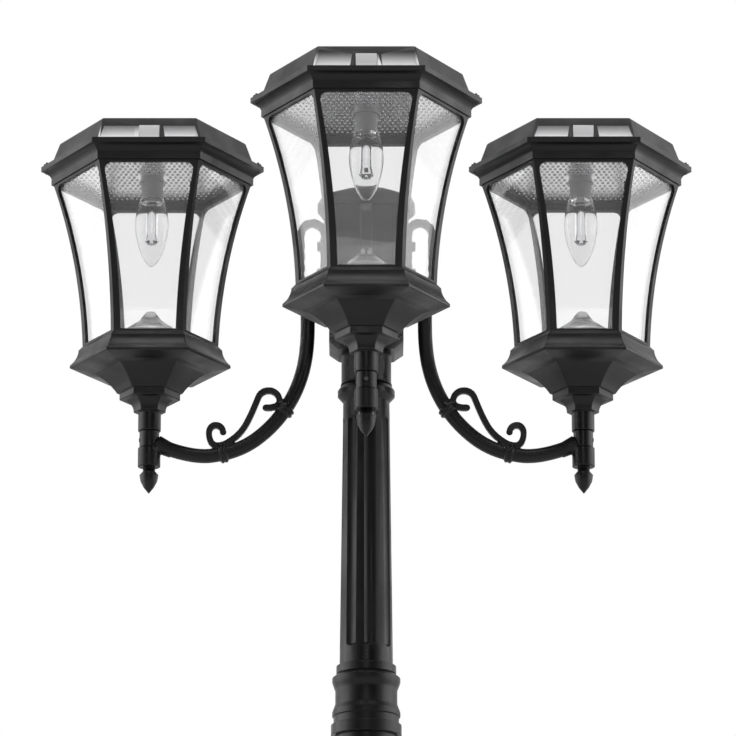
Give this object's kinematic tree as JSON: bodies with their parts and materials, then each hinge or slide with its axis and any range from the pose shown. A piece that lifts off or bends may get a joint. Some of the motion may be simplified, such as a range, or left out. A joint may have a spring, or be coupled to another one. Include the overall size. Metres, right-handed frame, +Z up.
{
  "type": "triple head lamp post",
  "caption": "Black fluted garden lamp post with hexagonal solar lanterns on scrolled arms, clear panes, clear bulbs and an octagonal bell base.",
  "frame": {"origin": "on the ground at the centre of the base flange", "axes": "+Z up the post, -Y towards the front lantern and the viewer, +X towards the lantern on the viewer's right"},
  "size_m": [0.7798, 0.512, 2.2881],
  "materials": {
    "black_paint": "fine-textured satin black powder coat",
    "black_screw": "satin black",
    "pane_glass": "clear",
    "crystal_glass": "clear, faceted",
    "lamp_glass": "clear",
    "clear_plastic": "clear",
    "holder_plastic": "pale grey",
    "frosted_plastic": "frosted",
    "solar_cell": "dark blue cells under a clear cover",
    "mirror_sheet": "dimpled bright reflector",
    "battery_case": "plain"
  },
  "bodies": {
    "post": {"base_casting": "black_paint", "lower_shaft": "black_paint", "mid_collar": "black_paint", "upper_shaft": "black_paint", "hub": "black_paint", "hub_cap": "black_paint", "hub_cap_screw": "black_screw", "arm_bolts": "black_screw", "stem_set_screws": "black_screw", "arm_left": "black_paint", "finial_left": "black_paint", "arm_right": "black_paint", "finial_right": "black_paint", "arm_front": "black_paint", "finial_front": "black_paint"},
    "lantern_left": {"cup_left": "black_paint", "cage_left": "black_paint", "glass_panes_left": "pane_glass", "pane_clip_left": "black_paint", "crystal_left": "crystal_glass"},
    "lantern_roof_left": {"roof_left": "black_paint", "solar_cap_left": "black_paint", "solar_panel_left": "solar_cell", "sensor_window_left": "frosted_plastic", "roof_screws_left": "black_screw", "reflector_left": "mirror_sheet", "bulb_holder_left": "holder_plastic", "bulb_core_left": "clear_plastic", "bulb_glass_left": "lamp_glass", "battery_pack_left": "battery_case"},
    "lantern_right": {"cup_right": "black_paint", "cage_right": "black_paint", "glass_panes_right": "pane_glass", "pane_clip_right": "black_paint", "crystal_right": "crystal_glass"},
    "lantern_roof_right": {"roof_right": "black_paint", "solar_cap_right": "black_paint", "solar_panel_right": "solar_cell", "sensor_window_right": "frosted_plastic", "roof_screws_right": "black_screw", "reflector_right": "mirror_sheet", "bulb_holder_right": "holder_plastic", "bulb_core_right": "clear_plastic", "bulb_glass_right": "lamp_glass", "battery_pack_right": "battery_case"},
    "lantern_front": {"cup_front": "black_paint", "cage_front": "black_paint", "glass_panes_front": "pane_glass", "pane_clip_front": "black_paint", "crystal_front": "crystal_glass"},
    "lantern_roof_front": {"roof_front": "black_paint", "solar_cap_front": "black_paint", "solar_panel_front": "solar_cell", "sensor_window_front": "frosted_plastic", "roof_screws_front": "black_screw", "reflector_front": "mirror_sheet", "bulb_holder_front": "holder_plastic", "bulb_core_front": "clear_plastic", "bulb_glass_front": "lamp_glass", "battery_pack_front": "battery_case"}
  },
  "joints": [
    {"name": "swivel_left", "type": "hinge", "parent": "post", "child": "lantern_left", "pos_m": [-0.2564, 0, 1.93], "axis": [0, 0, 1], "continuous": true},
    {"name": "swivel_right", "type": "hinge", "parent": "post", "child": "lantern_right", "pos_m": [0.2564, 0, 1.93], "axis": [0, 0, 1], "continuous": true},
    {"name": "swivel_front", "type": "hinge", "parent": "post", "child": "lantern_front", "pos_m": [0, -0.2564, 1.93], "axis": [0, 0, 1], "continuous": true},
    {"name": "roof_lift_left", "type": "slide", "parent": "lantern_left", "child": "lantern_roof_left", "axis": [0, 0, 1], "range_m": [0, 0.15]},
    {"name": "roof_lift_right", "type": "slide", "parent": "lantern_right", "child": "lantern_roof_right", "axis": [0, 0, 1], "range_m": [0, 0.15]},
    {"name": "roof_lift_front", "type": "slide", "parent": "lantern_front", "child": "lantern_roof_front", "axis": [0, 0, 1], "range_m": [0, 0.15]}
  ]
}
